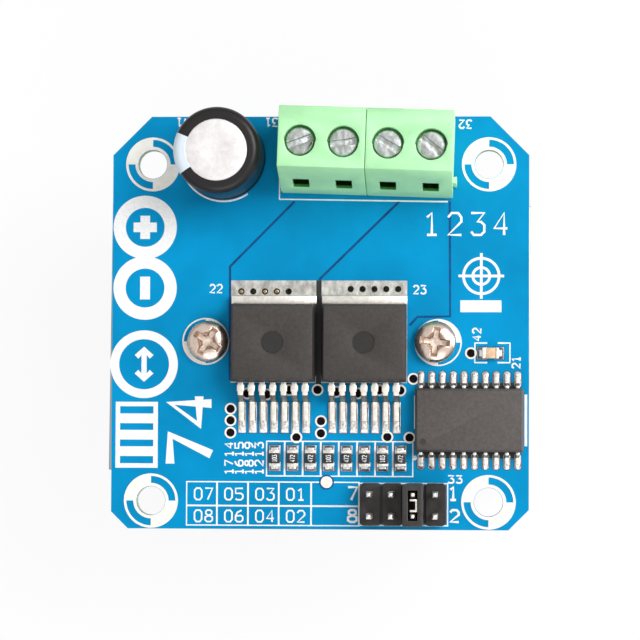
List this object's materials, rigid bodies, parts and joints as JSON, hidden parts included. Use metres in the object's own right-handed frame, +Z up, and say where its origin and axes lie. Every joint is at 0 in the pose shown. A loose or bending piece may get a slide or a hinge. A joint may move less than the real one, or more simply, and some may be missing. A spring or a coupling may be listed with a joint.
{
  "type": "dc motor driver module",
  "caption": "Blue circuit board with power driver packages, green screw terminals, a can capacitor, a pin header with a jumper, and a finned heatsink below.",
  "frame": {"origin": "centre of the four mounting holes, on the underside of the board", "axes": "+Z up through the board, +Y to the edge with the screw terminals, +X to the right seen from above"},
  "size_m": [0.0503, 0.0492, 0.0424],
  "materials": {
    "solder_mask_blue": "glossy blue solder mask on glass-fibre laminate",
    "heatsink_aluminium": "extruded, natural",
    "thermal_pad": "soft silicone sheet",
    "screw_nickel": "nickel plated, worn at the recess",
    "can_aluminium": "drawn, bright",
    "sleeve_black": "shrunk sleeve, glossy, with a pale polarity stripe",
    "bung_rubber": "moulded",
    "tinned_lead": "tinned wire and strip",
    "housing_green": "moulded, satin",
    "clamp_screw_zinc": "zinc plated, slotted",
    "clamp_cage": "zinc plated strip",
    "contact_brass": "tinned brass strip",
    "mould_black": "moulded epoxy, fine matt",
    "tab_tinned": "tinned copper",
    "resistor_black": "glazed black film",
    "ceramic_beige": "fired, plain",
    "chip_end_tin": "tinned end caps",
    "header_black": "moulded",
    "jumper_black": "moulded",
    "jumper_clip": "tinned spring strip",
    "solder": "reflowed, bright",
    "silkscreen_white": "printed ink",
    "tinned_land": "solder coated copper lands"
  },
  "bodies": {
    "module": {"pcb": "solder_mask_blue", "heatsink": "heatsink_aluminium", "thermal_pad": "thermal_pad", "heatsink_screws": "screw_nickel", "capacitor_can": "can_aluminium", "capacitor_sleeve": "sleeve_black", "capacitor_bung": "bung_rubber", "capacitor_leads": "tinned_lead", "terminal_housing_left": "housing_green", "terminal_housing_right": "housing_green", "terminal_contact_1": "contact_brass", "terminal_contact_2": "contact_brass", "terminal_contact_3": "contact_brass", "terminal_contact_4": "contact_brass", "driver_body_left": "mould_black", "driver_tab_left": "tab_tinned", "driver_leads_left": "tinned_lead", "driver_body_right": "mould_black", "driver_tab_right": "tab_tinned", "driver_leads_right": "tinned_lead", "buffer_body": "mould_black", "buffer_leads": "tinned_lead", "resistor_1": "resistor_black", "resistor_2": "resistor_black", "resistor_3": "resistor_black", "resistor_4": "resistor_black", "resistor_5": "resistor_black", "resistor_6": "resistor_black", "resistor_7": "resistor_black", "resistor_8": "resistor_black", "resistor_ends": "chip_end_tin", "ceramic_capacitor": "ceramic_beige", "ceramic_capacitor_ends": "chip_end_tin", "header_housing": "header_black", "header_pins": "tinned_lead"},
    "screw_1": {"terminal_screw_1": "clamp_screw_zinc"},
    "cage_1": {"terminal_cage_1": "clamp_cage"},
    "screw_2": {"terminal_screw_2": "clamp_screw_zinc"},
    "cage_2": {"terminal_cage_2": "clamp_cage"},
    "screw_3": {"terminal_screw_3": "clamp_screw_zinc"},
    "cage_3": {"terminal_cage_3": "clamp_cage"},
    "screw_4": {"terminal_screw_4": "clamp_screw_zinc"},
    "cage_4": {"terminal_cage_4": "clamp_cage"},
    "jumper": {"jumper_housing": "jumper_black", "jumper_clip": "jumper_clip"}
  },
  "joints": [
    {"name": "clamp_screw_1", "type": "hinge", "parent": "module", "child": "screw_1", "pos_m": [-0.00182, 0.02169, 0.0069], "axis": [0, 0, -1], "range_deg": [0, 1800]},
    {"name": "clamp_cage_1", "type": "slide", "parent": "module", "child": "cage_1", "axis": [0, 0, 1], "range_m": [0, 0.0025]},
    {"name": "clamp_screw_2", "type": "hinge", "parent": "module", "child": "screw_2", "pos_m": [0.00318, 0.02153, 0.0069], "axis": [0, 0, -1], "range_deg": [0, 1800]},
    {"name": "clamp_cage_2", "type": "slide", "parent": "module", "child": "cage_2", "axis": [0, 0, 1], "range_m": [0, 0.0025]},
    {"name": "clamp_screw_3", "type": "hinge", "parent": "module", "child": "screw_3", "pos_m": [0.00832, 0.02137, 0.0069], "axis": [0, 0, -1], "range_deg": [0, 1800]},
    {"name": "clamp_cage_3", "type": "slide", "parent": "module", "child": "cage_3", "axis": [0, 0, 1], "range_m": [0, 0.0025]},
    {"name": "clamp_screw_4", "type": "hinge", "parent": "module", "child": "screw_4", "pos_m": [0.01332, 0.02121, 0.0069], "axis": [0, 0, -1], "range_deg": [0, 1800]},
    {"name": "clamp_cage_4", "type": "slide", "parent": "module", "child": "cage_4", "axis": [0, 0, 1], "range_m": [0, 0.0025]},
    {"name": "jumper_lift", "type": "slide", "parent": "module", "child": "jumper", "axis": [0, 0, 1], "range_m": [0, 0.0075]}
  ],
  "couplings": [
    {"joint": "clamp_screw_1", "follows": "clamp_cage_1", "rad_per_m": 12566},
    {"joint": "clamp_screw_2", "follows": "clamp_cage_2", "rad_per_m": 12566},
    {"joint": "clamp_screw_3", "follows": "clamp_cage_3", "rad_per_m": 12566},
    {"joint": "clamp_screw_4", "follows": "clamp_cage_4", "rad_per_m": 12566}
  ]
}
